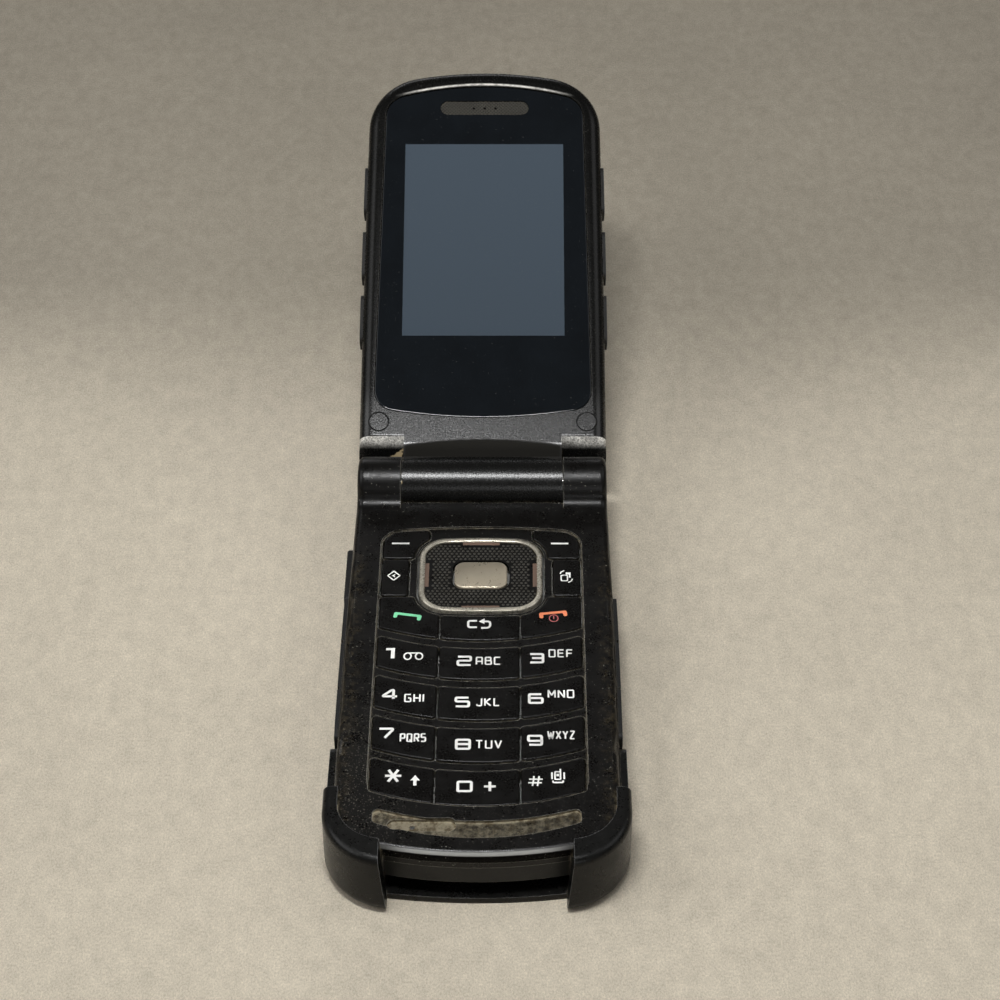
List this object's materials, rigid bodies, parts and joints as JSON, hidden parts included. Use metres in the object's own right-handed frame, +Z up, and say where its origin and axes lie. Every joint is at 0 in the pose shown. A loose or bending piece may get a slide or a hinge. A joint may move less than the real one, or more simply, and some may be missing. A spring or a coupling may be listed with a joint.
{
  "type": "flip phone",
  "caption": "Rugged clamshell mobile phone with sprung keypad, rocking navigation ring, tapered lid with display, and a corner guard round its chin.",
  "frame": {"origin": "on the resting face under the base, half-way along the battery cover, on the centre plane", "axes": "+X the user's right, +Y from the chin towards the hinge, +Z up through the keypad"},
  "size_m": [0.0542, 0.1875, 0.0563],
  "materials": {
    "housing_black": "satin moulded plastic",
    "guard_black": "fine grain, matte",
    "rubber_black": "matte",
    "lens_clear": "polished",
    "screen_grey": "smooth",
    "mesh_dark": "fine mesh",
    "rim_silver": "satin plated",
    "ring_black": "fine dots",
    "insert_pale": "translucent",
    "ok_silver": "satin",
    "key_black": "satin",
    "board_green": "solder mask",
    "mat_grey": "matte",
    "steel": "plain",
    "contact_brass": "plated",
    "battery_wrap": "film wrap",
    "carrier_white": "moulded",
    "window_dark": "polished",
    "flex_amber": "film"
  },
  "bodies": {
    "base": {"base_front_housing": "housing_black", "base_rear_housing": "housing_black", "battery_cover": "housing_black", "battery": "battery_wrap", "battery_contacts": "contact_brass", "main_board": "board_green", "dome_sheet": "steel", "key_mat": "mat_grey", "microphone": "steel", "vibration_motor": "steel", "antenna": "carrier_white", "port_connector": "steel", "base_screws": "steel", "base_grip_left": "rubber_black", "base_grip_right": "rubber_black", "hinge_pin": "steel", "corner_guard": "guard_black"},
    "lid": {"lid_front_frame": "housing_black", "lid_back_shell": "housing_black", "lid_lens": "lens_clear", "display_module": "screen_grey", "earpiece": "steel", "earpiece_mesh": "mesh_dark", "lid_board": "board_green", "lid_grips": "rubber_black", "lid_plugs": "rubber_black", "lid_screws": "steel", "outer_window": "window_dark", "outer_display": "screen_grey", "camera": "ring_black", "loudspeaker": "steel", "hinge_cam": "steel", "hinge_flex": "flex_amber"},
    "nav_actuator": {"nav_actuator": "carrier_white"},
    "nav_ring": {"nav_key": "ring_black", "nav_rim": "rim_silver", "nav_inserts": "insert_pale"},
    "ok_key": {"ok_key": "ok_silver"},
    "side_key": {"side_key": "rubber_black"},
    "port_cover": {"port_cover": "rubber_black"},
    "cover_lock": {"cover_lock": "steel"},
    "key_1": {"key_1": "key_black"},
    "key_2": {"key_2": "key_black"},
    "key_3": {"key_3": "key_black"},
    "key_4": {"key_4": "key_black"},
    "key_5": {"key_5": "key_black"},
    "key_6": {"key_6": "key_black"},
    "key_7": {"key_7": "key_black"},
    "key_8": {"key_8": "key_black"},
    "key_9": {"key_9": "key_black"},
    "key_star": {"key_star": "key_black"},
    "key_0": {"key_0": "key_black"},
    "key_hash": {"key_hash": "key_black"},
    "soft_key_right": {"soft_key_right": "key_black"},
    "soft_key_left": {"soft_key_left": "key_black"},
    "task_key": {"task_key": "key_black"},
    "map_key": {"map_key": "key_black"},
    "end_key": {"end_key": "key_black"},
    "send_key": {"send_key": "key_black"},
    "clear_key": {"clear_key": "key_black"}
  },
  "joints": [
    {"name": "lid_hinge", "type": "hinge", "parent": "base", "child": "lid", "pos_m": [0, 0.045, 0.0127], "axis": [1, 0, 0], "range_deg": [0, 152.1]},
    {"name": "key_1_press", "type": "slide", "parent": "base", "child": "key_1", "axis": [0, 0, -1], "range_m": [0, 0.0003], "stiffness_N_per_m": 50},
    {"name": "key_2_press", "type": "slide", "parent": "base", "child": "key_2", "axis": [0, 0, -1], "range_m": [0, 0.0003], "stiffness_N_per_m": 50},
    {"name": "key_3_press", "type": "slide", "parent": "base", "child": "key_3", "axis": [0, 0, -1], "range_m": [0, 0.0003], "stiffness_N_per_m": 50},
    {"name": "key_4_press", "type": "slide", "parent": "base", "child": "key_4", "axis": [0, 0, -1], "range_m": [0, 0.0003], "stiffness_N_per_m": 50},
    {"name": "key_5_press", "type": "slide", "parent": "base", "child": "key_5", "axis": [0, 0, -1], "range_m": [0, 0.0003], "stiffness_N_per_m": 50},
    {"name": "key_6_press", "type": "slide", "parent": "base", "child": "key_6", "axis": [0, 0, -1], "range_m": [0, 0.0003], "stiffness_N_per_m": 50},
    {"name": "key_7_press", "type": "slide", "parent": "base", "child": "key_7", "axis": [0, 0, -1], "range_m": [0, 0.0003], "stiffness_N_per_m": 50},
    {"name": "key_8_press", "type": "slide", "parent": "base", "child": "key_8", "axis": [0, 0, -1], "range_m": [0, 0.0003], "stiffness_N_per_m": 50},
    {"name": "key_9_press", "type": "slide", "parent": "base", "child": "key_9", "axis": [0, 0, -1], "range_m": [0, 0.0003], "stiffness_N_per_m": 50},
    {"name": "key_star_press", "type": "slide", "parent": "base", "child": "key_star", "axis": [0, 0, -1], "range_m": [0, 0.0003], "stiffness_N_per_m": 50},
    {"name": "key_0_press", "type": "slide", "parent": "base", "child": "key_0", "axis": [0, 0, -1], "range_m": [0, 0.0003], "stiffness_N_per_m": 50},
    {"name": "key_hash_press", "type": "slide", "parent": "base", "child": "key_hash", "axis": [0, 0, -1], "range_m": [0, 0.0003], "stiffness_N_per_m": 50},
    {"name": "soft_key_right_press", "type": "slide", "parent": "base", "child": "soft_key_right", "axis": [0, 0, -1], "range_m": [0, 0.0003], "stiffness_N_per_m": 50},
    {"name": "soft_key_left_press", "type": "slide", "parent": "base", "child": "soft_key_left", "axis": [0, 0, -1], "range_m": [0, 0.0003], "stiffness_N_per_m": 50},
    {"name": "task_key_press", "type": "slide", "parent": "base", "child": "task_key", "axis": [0, 0, -1], "range_m": [0, 0.0003], "stiffness_N_per_m": 50},
    {"name": "map_key_press", "type": "slide", "parent": "base", "child": "map_key", "axis": [0, 0, -1], "range_m": [0, 0.0003], "stiffness_N_per_m": 50},
    {"name": "end_key_press", "type": "slide", "parent": "base", "child": "end_key", "axis": [0, 0, -1], "range_m": [0, 0.0003], "stiffness_N_per_m": 50},
    {"name": "send_key_press", "type": "slide", "parent": "base", "child": "send_key", "axis": [0, 0, -1], "range_m": [0, 0.0003], "stiffness_N_per_m": 50},
    {"name": "clear_key_press", "type": "slide", "parent": "base", "child": "clear_key", "axis": [0, 0, -1], "range_m": [0, 0.0003], "stiffness_N_per_m": 50},
    {"name": "ok_key_press", "type": "slide", "parent": "base", "child": "ok_key", "axis": [0, 0, -1], "range_m": [0, 0.0003], "stiffness_N_per_m": 50},
    {"name": "side_key_press", "type": "slide", "parent": "base", "child": "side_key", "axis": [1, 0, 0], "range_m": [0, 0.0004], "stiffness_N_per_m": 50},
    {"name": "nav_left_right", "type": "hinge", "parent": "base", "child": "nav_actuator", "pos_m": [0, 0.01845, 0.01028], "axis": [0, 1, 0], "range_deg": [-1.2, 1.2], "stiffness_Nm_per_rad": 0.8},
    {"name": "nav_up_down", "type": "hinge", "parent": "nav_actuator", "child": "nav_ring", "pos_m": [0, 0.01845, 0.01028], "axis": [1, 0, 0], "range_deg": [-1.2, 1.2], "stiffness_Nm_per_rad": 0.8},
    {"name": "port_cover_hinge", "type": "hinge", "parent": "base", "child": "port_cover", "pos_m": [0.0252, 0.0285, 0.0051], "axis": [0, 0, 1], "range_deg": [0, 100]},
    {"name": "cover_lock_turn", "type": "hinge", "parent": "base", "child": "cover_lock", "pos_m": [0, -0.0188, 0.0006], "axis": [0, 0, 1], "range_deg": [0, 90]}
  ]
}
